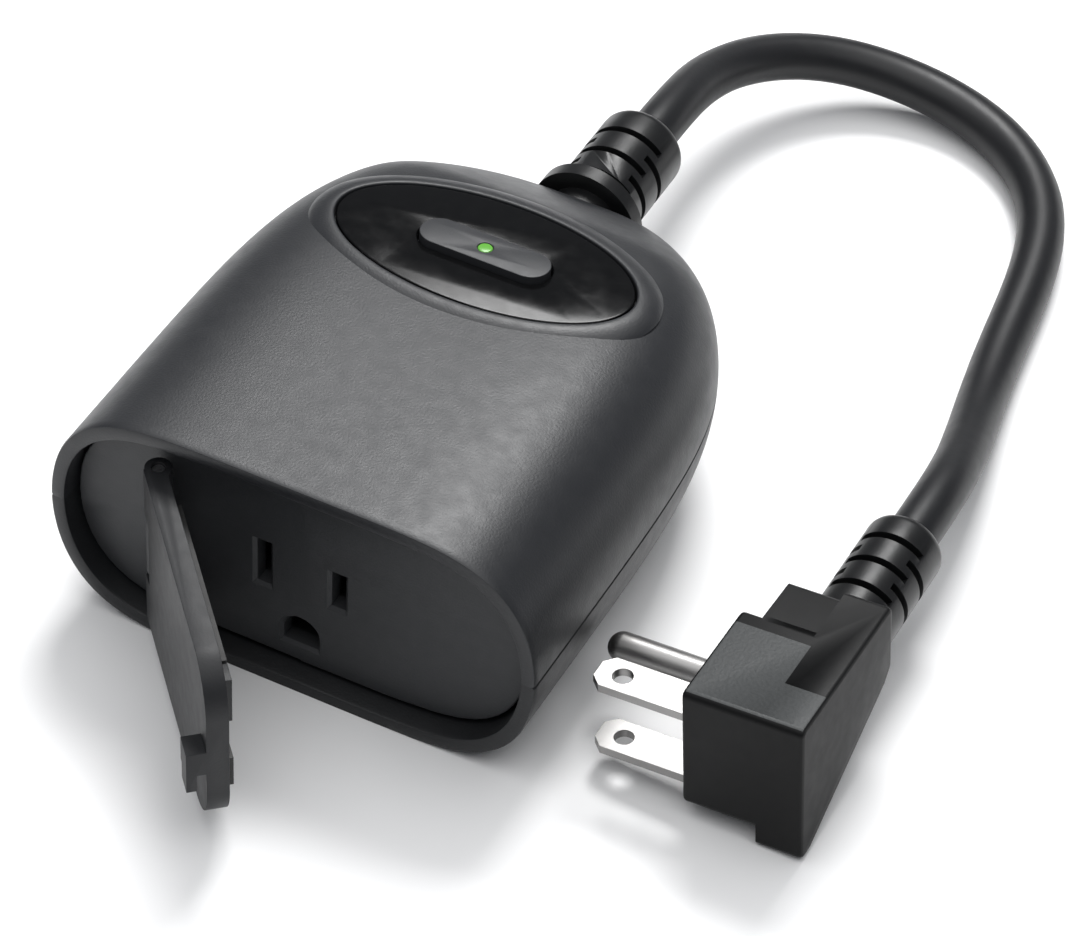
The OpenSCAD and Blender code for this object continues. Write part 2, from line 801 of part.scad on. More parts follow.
module ringed_sleeve(length, r, first) {
    difference() {
        rotate([-90, 0, 0]) rotate_extrude($fn = 72) polygon(concat(
            [[0, 0], [r, 0], [r, length - 2]],
            [for (i = [1 : 6]) [r - 2 + 2 * cos(15 * i), length - 2 + 2 * sin(15 * i)]], [[0, length]]));
        for (i = [0 : 2], turn = [0, 180]) groove(r, first + i * groove_pitch, turn + 90);
        for (i = [0 : 1], turn = [0, 180]) groove(r, first + (i + 0.5) * groove_pitch, turn);
    }
}

module body_boot() {
    color("#161718") {
        y_cylinder(flange_r, flange_y, flange_y + flange_t, cord_z);
        y_cylinder(neck_r, flange_y + flange_t - 0.5, boot_y + 0.5, cord_z);
        y_cylinder(collar_r, boot_y, boot_y + collar_t, cord_z);
        translate([0, boot_y + collar_t - 0.5, cord_z]) ringed_sleeve(boot_l - collar_t + 0.5, boot_r, 1.4);
    }
}

// Plug: a block behind the face, a back flange and a neck that holds the cord. Its own frame has
// X from the face to the back, Y from the free end to the neck and Z up from the flange. The plug
// stands on its flange and leans, so that the blades point down a little.
plug_lean = 4;
plug_neck_l = 10.5;
plug_boot_l = 24;
plug_full = plug_face_l + plug_neck_l;
plug_mid_z = (plug_h + flange_drop) / 2 - 0.65;
cord_in = plug_depth - 8.3;
flange_x = 12;
top_fall = 1.2;
neck_in = 3.5;
neck_back = 1.5;
under_flat = 3;
under_rise = 12;
back_cut = 2.2;
neck_rise = 3.6;
neck_step = 0.4;
edge_r = 1.2;
pins_drop = 1.2;
pins_z = plug_mid_z - pins_drop;
blade_in = 1.7;
blade_y = blade_in + blade_w / 2;
pin_y = blade_y + ground_offset;
root_l = 8;

module on_plug() {
    translate(cord_route[len(cord_route) - 1]) rotate([0, -plug_lean, 0])
        translate([-cord_in, -plug_full - plug_boot_l, -plug_mid_z]) children();
}

module plug_boot() {
    color("#161718") on_plug() translate([cord_in, plug_full + touch, plug_mid_z])
        ringed_sleeve(plug_boot_l - touch, plug_boot_d / 2, 6);
}

// Height of the plug's top, which falls a little towards the neck
function top_at(y) = plug_h - top_fall * y / plug_full;

// Side view of a part of the plug, drawn in Y and Z and given a thickness from x0 to x1
module side_cut(x0, x1) {
    translate([x0, 0, 0]) rotate([90, 0, 90]) linear_extrude(x1 - x0) children();
}

module plug_body() {
    core = plug_full - neck_back;
    color("#1c1d1f") on_plug() difference() {
        union() {
            side_cut(0, flange_x + 1) offset(r = edge_r, $fn = 40) offset(delta = -edge_r)
                polygon([[0, flange_drop], [plug_face_l, flange_drop], [plug_face_l, top_at(plug_face_l)],
                    [0, plug_h]]);
            side_cut(neck_in, flange_x + 1) offset(r = edge_r, $fn = 40) offset(delta = -edge_r)
                polygon([[1, flange_drop], [plug_face_l, flange_drop], [core, flange_drop + neck_rise],
                    [core, top_at(core) - neck_step], [plug_face_l, top_at(plug_face_l)], [1, top_at(1)]]);
            side_cut(flange_x, plug_depth) offset(r = edge_r, $fn = 40) offset(delta = -edge_r)
                polygon([[0, 0], [under_flat, 0], [plug_full - back_cut, under_rise - back_cut / 2],
                    [plug_full, under_rise + back_cut / 2], [plug_full, top_at(plug_full)], [0, plug_h]]);
        }
        for (s = [-1, 1])
            translate([-1, blade_y - blade_w / 2 - touch, pins_z + s * blade_pitch / 2 - blade_t / 2 - touch])
                cube([root_l + 1 + touch, blade_w + 2 * touch, blade_t + 2 * touch]);
        translate([-1, pin_y, pins_z]) rotate([0, 90, 0])
            cylinder(d = ground_pin_d + 2 * touch, h = root_l + 1 + touch, $fn = 48);
    }
}

// Flat blade with a hole and a narrowed tip
blade_tip = 1.6;
blade_hole_d = 3.1;
blade_hole_at = 11.9;
module blade(z) {
    on_plug() translate([0, blade_y, z - blade_t / 2]) linear_extrude(blade_t) difference() {
        polygon([[root_l, -blade_w / 2], [root_l, blade_w / 2], [-blade_l + blade_tip, blade_w / 2],
            [-blade_l, blade_w / 2 - blade_tip], [-blade_l, -blade_w / 2 + blade_tip],
            [-blade_l + blade_tip, -blade_w / 2]]);
        translate([-blade_hole_at, 0]) circle(d = blade_hole_d, $fn = 40);
    }
}

module live_blade() {
    color("#c6c8ca") blade(pins_z + blade_pitch / 2);
}

module neutral_blade() {
    color("#c6c8ca") blade(pins_z - blade_pitch / 2);
}

module ground_pin() {
    r = ground_pin_d / 2;
    straight = ground_pin_l + root_l - r;
    color("#c6c8ca") on_plug() translate([root_l, pin_y, pins_z]) rotate([0, -90, 0]) {
        cylinder(r = r, h = straight, $fn = 48);
        translate([0, 0, straight]) sphere(r = r, $fn = 48);
    }
}

upper_shell();
lower_shell();
shell_seal();
outlet_plate();
outlet_housing();
neutral_contact();
hot_contact();
ground_contact();
outlet_cover();
cover_pin();
cover_seal();
control_panel();
button();
light_guide();
button_seal();
switch_base();
switch_plunger();
status_led();
control_board();
radio_module();
power_board();
relay();
transformer();
bulk_capacitors();
line_capacitor();
fuse();
varistor();
choke();
rectifier();
screw_terminals();
board_header();
live_wire();
neutral_wire();
ground_wire();
case_screws();
board_screws();
body_boot();
cord();
plug_boot();
plug_body();
live_blade();
neutral_blade();
ground_pin();
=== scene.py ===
# %% [markdown]
# # An outdoor smart plug
#
# This lesson builds the look of a small smart plug: a flat bullet-shaped housing with one outlet behind a
# hinged cover, an oval panel with a button, a short rubber cord and a right-angle grounded plug. The
# engineering model is already there as a fixed frame. Each step below replaces one plain engineering piece
# with a finished one, or gives it a real finish.

# %% Load the frame
import math
import bpy
import bmesh
import numpy as np
from mathutils import Matrix, Quaternion, Vector
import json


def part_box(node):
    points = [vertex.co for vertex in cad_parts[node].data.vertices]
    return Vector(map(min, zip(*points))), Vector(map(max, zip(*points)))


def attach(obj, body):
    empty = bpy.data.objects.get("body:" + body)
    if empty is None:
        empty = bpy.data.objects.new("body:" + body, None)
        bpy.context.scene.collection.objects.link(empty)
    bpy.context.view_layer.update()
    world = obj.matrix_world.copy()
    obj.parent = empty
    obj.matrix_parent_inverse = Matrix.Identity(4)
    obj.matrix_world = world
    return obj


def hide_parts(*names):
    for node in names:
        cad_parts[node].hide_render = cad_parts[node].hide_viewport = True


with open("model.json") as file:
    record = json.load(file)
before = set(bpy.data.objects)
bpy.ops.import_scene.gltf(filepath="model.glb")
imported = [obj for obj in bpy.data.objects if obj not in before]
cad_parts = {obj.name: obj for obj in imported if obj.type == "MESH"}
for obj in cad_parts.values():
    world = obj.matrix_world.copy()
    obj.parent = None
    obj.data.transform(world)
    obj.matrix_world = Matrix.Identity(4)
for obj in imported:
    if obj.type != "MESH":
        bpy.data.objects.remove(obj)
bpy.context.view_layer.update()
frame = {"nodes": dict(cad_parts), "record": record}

MM = 0.001
scene = bpy.context.scene


def box_mm(node):
    """Lowest and highest corner of an engineering piece, in millimetres."""
    low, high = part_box(node)
    return Vector(low) / MM, Vector(high) / MM


# %% [markdown]
# ## The camera
#
# A product picture like this is taken from far away with a long lens, so that parallel edges stay nearly
# parallel. A short lens close by would make the outlet end look too big. So the camera stands about 0.79 m
# away with a 167 mm lens, in front of the outlet, to the right and above.

# %% Camera
camera_data = bpy.data.cameras.new("camera")
camera_data.sensor_width = 36.0
camera_data.lens = 167.1
camera_data.clip_start = 0.01
camera_data.clip_end = 20.0
camera = bpy.data.objects.new("camera", camera_data)
camera.location = (0.2564, -0.5008, 0.5495)
look_along = Vector((-0.3103, 0.6490, -0.6947))
lean = math.radians(2.86)  # the camera's roll
camera.rotation_euler = (look_along.to_track_quat("-Z", "Y") @ Quaternion((0, 0, 1), lean)).to_euler()
scene.collection.objects.link(camera)
scene.camera = camera
print("camera stands", round(camera.location.length, 3), "m from the origin")

# %% [markdown]
# ## The cord
#
# The cord is a fixed length of thick rubber lead. It leaves the housing straight, sinks to the table, lies in
# one loose loop and rises into the plug. A curve is the natural way to make it: a few given points give the
# route, a uniform cubic spline led by them gives the smooth line, and the curve's bevel gives the round
# jacket. The points are the engineering model's own, so the two cords lie in the same place.

# %% Cord route
CORD_ROUTE = [(0, 69, 21), (0, 75, 21), (-0.5, 84, 19.5), (-1, 95, 16.5), (2.5, 107.5, 13), (12, 118, 9.5),
              (26, 122.5, 6), (40, 120.5, 4.5), (51.5, 113, 4), (59, 101.5, 4), (62.5, 87, 4),
              (64.5, 71, 4), (67.5, 55, 5), (71.5, 39, 9.5), (73.5, 25, 14), (73.5, 12.5, 14.3)]
CORD_D = 8.0
CORD_STEPS = 6  # points on each stretch of the spline


def spline(points, steps):
    """Points along a uniform cubic spline that starts and ends on the end points."""
    p = [Vector(v) for v in points]
    p = [2 * p[0] - p[1]] + p + [2 * p[-1] - p[-2]]
    line = []
    for i in range(len(p) - 3):
        for k in range(steps):
            u = k / steps
            line.append((p[i] * (1 - u) ** 3 + p[i + 1] * (3 * u ** 3 - 6 * u * u + 4)
                         + p[i + 2] * (-3 * u ** 3 + 3 * u * u + 3 * u + 1) + p[i + 3] * u ** 3) / 6)
    return line + [Vector(points[-1])]


cord_line = spline(CORD_ROUTE, CORD_STEPS)

# %% Cord piece
cord_curve = bpy.data.curves.new("cord_jacket", "CURVE")
cord_curve.dimensions = "3D"
# A curve's box counts the radius of each point, so the points carry the cord's radius and the bevel is 1.
cord_curve.bevel_depth = 1.0
cord_curve.bevel_resolution = 7
cord_curve.use_fill_caps = True
cord_spline = cord_curve.splines.new("POLY")
cord_spline.points.add(len(cord_line) - 1)
for point, place in zip(cord_spline.points, cord_line):
    point.co = (*(place * MM), 1.0)
    point.radius = CORD_D / 2 * MM
cord_spline.use_smooth = True
cord = bpy.data.objects.new("cord_jacket", cord_curve)
scene.collection.objects.link(cord)
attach(cord, "housing")
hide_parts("cord")

# %% [markdown]
# ## The table and the light
#
# The plug lies on a plain white table. One large soft light behind and above gives the broad sheen on the
# top, as a softbox over a product table does, and it leaves the faces that look at the camera darker, which
# is what shows the form of a dark object. A weak light at the front left and a wide one overhead keep those
# faces readable.

# %% Light


def soft_light(name, place, target, size, power, colour=(1, 1, 1)):
    """A square area light that points from place to target."""
    data = bpy.data.lights.new(name, "AREA")
    data.shape = "RECTANGLE"
    data.size, data.size_y = size
    data.energy = power
    data.color = colour
    light = bpy.data.objects.new(name, data)
    light.location = place
    light.rotation_euler = (Vector(target) - Vector(place)).to_track_quat("-Z", "Y").to_euler()
    scene.collection.objects.link(light)
    print(name, power, "W")


soft_light("key_light", (-0.20, 0.72, 1.12), (0.02, 0.02, 0.02), (0.55, 0.40), 16)
soft_light("front_light", (-0.9, -0.7, 0.9), (0, 0, 0.02), (0.9, 0.9), 1.0)
soft_light("top_light", (0.1, -0.1, 1.6), (0, 0, 0), (2.2, 2.2), 26)

world = bpy.data.worlds.new("studio")
world.use_nodes = True
world.node_tree.nodes["Background"].inputs["Color"].default_value = (0.9, 0.93, 1.0, 1)
world.node_tree.nodes["Background"].inputs["Strength"].default_value = 0.2
scene.world = world
scene.view_settings.view_transform = "Standard"

# %% Table
TABLE_HALF = 4.0  # metres

table_bm = bmesh.new()
bmesh.ops.create_grid(table_bm, x_segments=2, y_segments=2, size=TABLE_HALF)
table_mesh = bpy.data.meshes.new("table")
table_bm.to_mesh(table_mesh)
table_bm.free()
table = bpy.data.objects.new("table", table_mesh)
scene.collection.objects.link(table)
table_paint = bpy.data.materials.new("table_white")
table_paint.use_nodes = True
table_shader = table_paint.node_tree.nodes["Principled BSDF"]
table_shader.inputs["Base Color"].default_value = (0.93, 0.93, 0.93, 1)
table_shader.inputs["Roughness"].default_value = 0.8
table_mesh.materials.append(table_paint)
print("table", 2 * TABLE_HALF, "m wide")

# %% [markdown]
# ## Finishes
#
# Nearly everything here is moulded plastic or rubber. What tells them apart is the grain of the mould, how
# wide the highlight is and how much the colour wanders. So one recipe makes them all: a base colour with a
# faint cloudy variation, a roughness that varies a little, and a fine bump in the size of the mould's
# texture. Patterns read Object coordinates, which are metres here, so a scale of 3000 is a third of a
# millimetre.

# %% Finish recipes


def new_finish(name):
    """A material with its shader and an Object-coordinate output to build on."""
    finish = bpy.data.materials.new(name)
    finish.use_nodes = True
    tree = finish.node_tree
    shader = tree.nodes["Principled BSDF"]
    where = tree.nodes.new("ShaderNodeTexCoord").outputs["Object"]
    return finish, tree, shader, where


def cloud(tree, where, scale, detail=3.0):
    """Soft noise of the given scale."""
    noise = tree.nodes.new("ShaderNodeTexNoise")
    noise.inputs["Scale"].default_value = scale
    noise.inputs["Detail"].default_value = detail
    tree.links.new(where, noise.inputs["Vector"])
    return noise.outputs["Fac"]


def between(tree, factor, low, high):
    """Maps noise, which lies mostly between 0.3 and 0.7, to low to high."""
    node = tree.nodes.new("ShaderNodeMapRange")
    node.inputs["From Min"].default_value = 0.3
    node.inputs["From Max"].default_value = 0.7
    node.inputs["To Min"].default_value = low
    node.inputs["To Max"].default_value = high
    tree.links.new(factor, node.inputs["Value"])
    return node.outputs["Result"]


def tint(tree, factor, dark, light):
    """A colour between two, by a factor."""
    node = tree.nodes.new("ShaderNodeMix")
    node.data_type = "RGBA"
    node.inputs["A"].default_value = (*dark, 1)
    node.inputs["B"].default_value = (*light, 1)
    tree.links.new(factor, node.inputs["Factor"])
    return node.outputs["Result"]


def bump(tree, shader, height, distance):
    """Drives the shader's normal from a height in metres."""
    node = tree.nodes.new("ShaderNodeBump")
    node.inputs["Strength"].default_value = 1.0
    node.inputs["Distance"].default_value = distance
    tree.links.new(height, node.inputs["Height"])
    tree.links.new(node.outputs["Normal"], shader.inputs["Normal"])


def moulded(name, colour, roughness, grain=2600, depth=0.00002, spread=0.03, specular=0.5):
    """Moulded plastic or rubber: cloudy colour, varied gloss and a fine grain."""
    finish, tree, shader, where = new_finish(name)
    dark = tuple(c * (1 - spread) for c in colour)
    light = tuple(c * (1 + spread) for c in colour)
    tree.links.new(tint(tree, cloud(tree, where, 90), dark, light), shader.inputs["Base Color"])
    tree.links.new(between(tree, cloud(tree, where, 400, 2), roughness - 0.03, roughness + 0.03),
                   shader.inputs["Roughness"])
    shader.inputs["Specular IOR Level"].default_value = specular
    bump(tree, shader, cloud(tree, where, grain, 2), depth)
    return finish


def plated(name, colour, roughness, stretch=(1, 1, 1), depth=0.000004):
    """Bright metal with fine drawn lines."""
    finish, tree, shader, where = new_finish(name)
    shader.inputs["Metallic"].default_value = 1.0
    mapping = tree.nodes.new("ShaderNodeMapping")
    mapping.inputs["Scale"].default_value = stretch
    tree.links.new(where, mapping.inputs["Vector"])
    lines = cloud(tree, mapping.outputs["Vector"], 900, 4)
    tree.links.new(between(tree, lines, roughness - 0.05, roughness + 0.07), shader.inputs["Roughness"])
    tree.links.new(tint(tree, cloud(tree, where, 150), tuple(c * 0.93 for c in colour), colour),
                   shader.inputs["Base Color"])
    bump(tree, shader, lines, depth)
    return finish


# %% Outer finishes
case_plastic = moulded("case_plastic", (0.016, 0.017, 0.0192), 0.42, depth=0.00003, specular=0.42)
base_plastic = moulded("base_plastic", (0.014, 0.0148, 0.0162), 0.44, depth=0.00003, specular=0.35)
face_plastic = moulded("face_plastic", (0.030, 0.0315, 0.034), 0.5, grain=2200, depth=0.00003, specular=0.4)
cover_plastic = moulded("cover_plastic", (0.014, 0.0146, 0.0162), 0.5, specular=0.3)
panel_plastic = moulded("panel_plastic", (0.002, 0.0021, 0.0023), 0.18, grain=700, depth=0.000002,
                        spread=0.2, specular=0.22)
button_plastic = moulded("button_plastic", (0.022, 0.0232, 0.0258), 0.42, grain=3200, depth=0.00001,
                         specular=0.4)
plug_plastic = moulded("plug_plastic", (0.0035, 0.0036, 0.0038), 0.46, grain=2000, depth=0.00001,
                       specular=0.16)
boot_rubber = moulded("boot_rubber", (0.006, 0.0062, 0.0066), 0.34, grain=1500, depth=0.00001, specular=0.35)
cord_rubber = moulded("cord_rubber", (0.0075, 0.0078, 0.009), 0.42, grain=1200, depth=0.00001, specular=0.35)
seal_rubber = moulded("seal_rubber", (0.01, 0.01, 0.01), 0.6, grain=1500)
inner_plastic = moulded("inner_plastic", (0.015, 0.015, 0.016), 0.45, grain=1500)
lens_green = moulded("lens_green", (0.10, 0.32, 0.04), 0.25, grain=3000, depth=0.000002)
lens_shader = lens_green.node_tree.nodes["Principled BSDF"]
lens_shader.inputs["Emission Color"].default_value = (0.12, 0.45, 0.04, 1)
lens_shader.inputs["Emission Strength"].default_value = 0.1
print("outer finishes:", len(bpy.data.materials))

# %% Inner finishes and metals
relay_blue = moulded("relay_blue", (0.03, 0.12, 0.36), 0.4)
terminal_green = moulded("terminal_green", (0.03, 0.26, 0.08), 0.4)
tape_yellow = moulded("tape_yellow", (0.55, 0.42, 0.14), 0.5)
film_yellow = moulded("film_yellow", (0.62, 0.36, 0.05), 0.4)
coating_blue = moulded("coating_blue", (0.04, 0.11, 0.42), 0.3)
sleeve_black = moulded("sleeve_black", (0.02, 0.021, 0.026), 0.3)
ceramic = moulded("ceramic", (0.62, 0.60, 0.54), 0.5)
winding = moulded("winding", (0.22, 0.09, 0.03), 0.35, grain=900, depth=0.0001)
wire_black = moulded("wire_black", (0.015, 0.015, 0.015), 0.4)
wire_white = moulded("wire_white", (0.75, 0.75, 0.72), 0.4)
wire_green = moulded("wire_green", (0.04, 0.28, 0.08), 0.4)
solder_mask = moulded("solder_mask", (0.01, 0.09, 0.03), 0.35, grain=1400, depth=0.00002)
lamp_clear = moulded("lamp_clear", (0.6, 0.75, 0.55), 0.2)
nickel = plated("nickel", (0.30, 0.295, 0.29), 0.36, (0.2, 3, 3))
steel = plated("steel", (0.55, 0.55, 0.56), 0.3, (3, 3, 0.3))
brass = plated("brass", (0.7, 0.5, 0.2), 0.3)
print("finishes:", len(bpy.data.materials))

# %% Finishes on the engineering pieces


def dress(finish, *nodes):
    """Gives engineering pieces a finish."""
    for node in nodes:
        for place in frame["nodes"][node].material_slots:
            place.material = finish


cord.data.materials.append(cord_rubber)
dress(seal_rubber, "shell_seal", "cover_seal", "button_seal")
dress(steel, "cover_pin", "case_screws", "board_screws", "radio_module")
dress(brass, "neutral_contact", "hot_contact", "ground_contact")
dress(inner_plastic, "outlet_housing", "switch_base", "board_header", "rectifier")
dress(ceramic, "switch_plunger", "fuse")
dress(lamp_clear, "status_led")
dress(solder_mask, "control_board", "power_board")
dress(relay_blue, "relay")
dress(tape_yellow, "transformer")
dress(sleeve_black, "bulk_capacitors")
dress(film_yellow, "line_capacitor")
dress(coating_blue, "varistor")
dress(winding, "choke")
dress(terminal_green, "screw_terminals")
dress(wire_black, "live_wire")
dress(wire_white, "neutral_wire")
dress(wire_green, "ground_wire")

# %% [markdown]
# ## Two ways to make a finished piece
#
# Large soft shapes, such as the housing, are built here from a grid whose points are laid on the shape. Small
# moulded parts are already right in the engineering model, except that their edges are knife sharp, which no
# moulded part has. For those, a copy of the engineering piece is merged, its flat facets are joined and every
# edge gets a small round. That round is what catches the light along an edge.

# %% Placing a piece
record = frame["record"]
press_axis = Vector([j for j in record["behaviour"]["joints"] if j["name"] == "button_press"][0]["axis"])


def put(bm, name, nodes, finishes, body="housing", sharp=20):
    """Makes a piece from a bmesh in metres, lets it ride on a body and replaces engineering nodes."""
    mesh = bpy.data.meshes.new(name)
    bm.to_mesh(mesh)
    bm.free()
    mesh.shade_smooth()
    mesh.set_sharp_from_angle(angle=math.radians(sharp))
    for finish in finishes:
        mesh.materials.append(finish)
    piece = bpy.data.objects.new(name, mesh)
    scene.collection.objects.link(piece)
    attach(piece, body)
    for node in nodes:
        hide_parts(node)
    print(name, len(mesh.polygons), "faces")
    return piece


def copy_of(node):
    """A merged copy of an engineering piece, with its flat facets joined."""
    bm = bmesh.new()
    bm.from_mesh(frame["nodes"][node].data)
    bm.transform(frame["nodes"][node].matrix_world)
    bmesh.ops.remove_doubles(bm, verts=bm.verts, dist=1e-6)
    bmesh.ops.dissolve_limit(bm, angle_limit=math.radians(0.8), verts=bm.verts, edges=bm.edges)
    return bm


def round_edges(bm, width, segments=2, angle=35, clamp=True, pick=None):
    """Rounds the edges that are sharper than an angle, or those that a test picks."""
    edges = [e for e in bm.edges if e.is_manifold and e.calc_face_angle(0) > math.radians(angle)
             and (pick is None or pick(e))]
    bmesh.ops.bevel(bm, geom=edges, offset=width * MM, offset_type="OFFSET", segments=segments, profile=0.5,
                    affect="EDGES", clamp_overlap=clamp, material=-1)
    return len(edges)


def rounded(node, finish, width=0.3, segments=2, angle=35, clamp=True, body="housing"):
    """A finished copy of an engineering piece with rounded edges."""
    bm = copy_of(node)
    round_edges(bm, width, segments, angle, clamp)
    return put(bm, node + "_finished", [node], [finish], body)


# %% [markdown]
# ## The housing's shape
#
# Each half of the housing is an injection-moulded shell. Its cross-section is a rounded rectangle with a
# soft crown, and its outline narrows to a blunt nose where the cord leaves. Both halves follow the same
# curves, so one function gives a point on the skin: `u` runs round the half section from the right edge over
# the crown to the left, `t` from the outlet end to the nose. The points of the grid are spaced evenly along
# both curves, so that no face is stretched.

# %% Shape of the housing
shell_low, shell_high = box_mm("upper_shell")
HALF_W = shell_high.x
PART_Z = shell_low.z
FRONT_Y = shell_low.y
BODY_L = 97.0
WALL = 2.4
T_END = (shell_high.y - FRONT_Y) / BODY_L
TOP_H = PART_Z
UNDER_H = PART_Z + 0.4  # the base's curve runs below the table, which cuts it flat
SKIN_POWER = 5.6  # squareness of the cross-section: 2 is an ellipse
SIDE_POWER = 5.1  # how late the height falls towards the nose
PLAN_POWER = 5.5  # how late the width falls towards the nose
SEAM = 0.3


def side_fall(t):
    """Share of the full height at t."""
    return math.sqrt(1 - t ** SIDE_POWER)


def plan_fall(t):
    """Share of the full width at t."""
    return (1 - t ** PLAN_POWER) ** (1 / 1.5)


def nose_fall(t):
    """Further fall of the top over the last fifth, towards the nose."""
    k = (t - 0.8) / 0.2
    return 1 - 0.38 * (k + math.sqrt(k * k + 0.01)) / 2


def skin(u, t, side, inset=0.0, y=None):
    """A point on the skin in millimetres, or inside it by an inset."""
    half_w = HALF_W * plan_fall(t) - inset
    half_h = (TOP_H if side > 0 else UNDER_H) * side_fall(t) * (nose_fall(t) if side > 0 else 1) - inset
    x = half_w * math.copysign(abs(math.cos(u)) ** (2 / SKIN_POWER), math.cos(u))
    z = PART_Z + side * half_h * math.sin(u)
    return Vector((x, FRONT_Y + t * BODY_L if y is None else y, max(z, 0.0)))


def even(path, first, last, count):
    """Parameter values that cut a path into steps of equal length."""
    values = np.linspace(first, last, 1500)
    points = np.array([path(v) for v in values])
    run = np.concatenate([[0], np.cumsum(np.linalg.norm(np.diff(points, axis=0), axis=1))])
    return list(np.interp(np.linspace(0, run[-1], count), run, values))


u_seam = math.asin(SEAM / TOP_H)
columns = [0.0] + even(lambda u: skin(u, 0.0, 1), u_seam, math.pi - u_seam, 124) + [math.pi]
rows = even(lambda t: skin(0.02, t, 1), 0.45 / BODY_L, T_END, 96)
print("skin grid", len(columns), "by", len(rows), "points")

# %% Half shells


def half_shell(side):
    """The outside of one half, its rim at the outlet end and the inner wall behind the rim."""
    rim = [(WALL, 6.0), (WALL, 0.5), (WALL - 0.15, 0.15), (WALL - 0.5, 0.0), (0.45, 0.0), (0.13, 0.13)]
    lines = [(inset, back, 0.0) for inset, back in rim] + [(0.0, None, t) for t in rows]
    lines = lines + [(2.0, None, T_END)]
    bm = bmesh.new()
    bmesh.ops.create_grid(bm, x_segments=len(columns) - 1, y_segments=len(lines) - 1, size=0.5)
    for v in bm.verts:
        i = round((v.co.x + 0.5) * (len(columns) - 1))
        inset, back, t = lines[round((v.co.y + 0.5) * (len(lines) - 1))]
        groove = SEAM if i in (0, len(columns) - 1) and inset < 1 else 0.0
        v.co = skin(columns[i], t, side, inset + groove, None if back is None else FRONT_Y + back)
    bmesh.ops.recalc_face_normals(bm, faces=bm.faces)
    middle = min(bm.faces, key=lambda f: (f.calc_center_median() - skin(math.pi / 2, 0.4, side)).length)
    if middle.normal.z * side < 0:
        bmesh.ops.reverse_faces(bm, faces=bm.faces)
    return bm


# %% [markdown]
# ## The top shell and the rim round the panel
#
# The oval panel sits in a shallow pocket with a low rounded rim that fades into the top. The pocket is
# pressed into the grid, and the rim is a profile swept round the oval: a short wall inside, a rounded edge
# and a long soft fall outside that ends just under the skin.

# %% Top shell
panel_low, panel_high = box_mm("control_panel")
panel_up = -press_axis.normalized()
panel_frame = Matrix.Translation((panel_low + panel_high) / 2 + panel_up * 1.0) @ Matrix.Rotation(
    math.atan2(-panel_up.y, panel_up.z), 4, "X")
PANEL_W = panel_high.x - panel_low.x
PANEL_L = 26.0


def oval(angle, away):
    """A point of the panel's outline, moved outwards by a distance."""
    point = Vector((PANEL_W / 2 * math.cos(angle), PANEL_L / 2 * math.sin(angle)))
    outwards = Vector((math.cos(angle) / PANEL_W, math.sin(angle) / PANEL_L)).normalized()
    return point + outwards * away


top_bm = half_shell(1)
into_panel = panel_frame.inverted()
for v in top_bm.verts:
    local = into_panel @ v.co
    if local.z > -8 and math.hypot(local.x / (PANEL_W / 2 + 0.9), local.y / (PANEL_L / 2 + 0.9)) < 1:
        local.z = -2.4
        v.co = panel_frame @ local

profile = [(0.28, -2.2), (0.28, -0.3), (0.33, -0.14), (0.45, -0.04), (0.65, 0.0), (1.1, -0.03), (1.6, -0.12),
           (2.2, -0.3), (2.8, -0.55), (3.4, -0.88), (4.0, -1.3), (4.4, -1.8)]
ring_bm = bmesh.new()
bmesh.ops.create_grid(ring_bm, x_segments=180, y_segments=len(profile) - 1, size=0.5)
for v in ring_bm.verts:
    angle = (v.co.x + 0.5) * 2 * math.pi
    away, height = profile[round((v.co.y + 0.5) * (len(profile) - 1))]
    place = oval(angle, away)
    v.co = panel_frame @ Vector((place.x, place.y, height))
bmesh.ops.remove_doubles(ring_bm, verts=ring_bm.verts, dist=0.001)
bmesh.ops.recalc_face_normals(ring_bm, faces=ring_bm.faces)
crest = max(ring_bm.faces, key=lambda f: (into_panel @ f.calc_center_median()).z)
if crest.normal.z < 0:
    bmesh.ops.reverse_faces(ring_bm, faces=ring_bm.faces)
ring_mesh = bpy.data.meshes.new("panel_rim")
ring_bm.to_mesh(ring_mesh)
ring_bm.free()
top_bm.from_mesh(ring_mesh)
bmesh.ops.scale(top_bm, vec=(MM, MM, MM), verts=top_bm.verts)
put(top_bm, "top_shell", ["upper_shell"], [case_plastic], sharp=40)

# %% [markdown]
# ## The bottom shell and its screw recesses
#
# The bottom half has the same outline and a flat base to stand on. Four case screws come up through it, each
# at the bottom of a round recess. A recess is opened by deleting a patch of the grid and bridging what is
# left to a circle that lies on the skin, so the skin stays smooth round the hole.

# %% Bottom shell
SCREW_RECESS_R = 3.1
SCREW_HOLE_R = 1.55
SCREWS = ((-30, -34, 5.5), (30, -34, 5.5), (-22.5, 26.6, 9.5), (22.5, 26.6, 9.5))  # x, y, seat height


def under(x, y):
    """Height of the outside of the base over a place."""
    t = (y - FRONT_Y) / BODY_L
    across = min(1.0, abs(x) / (HALF_W * plan_fall(t)))
    return max(0.0, PART_Z - UNDER_H * side_fall(t) * math.sqrt(1 - across ** SKIN_POWER))


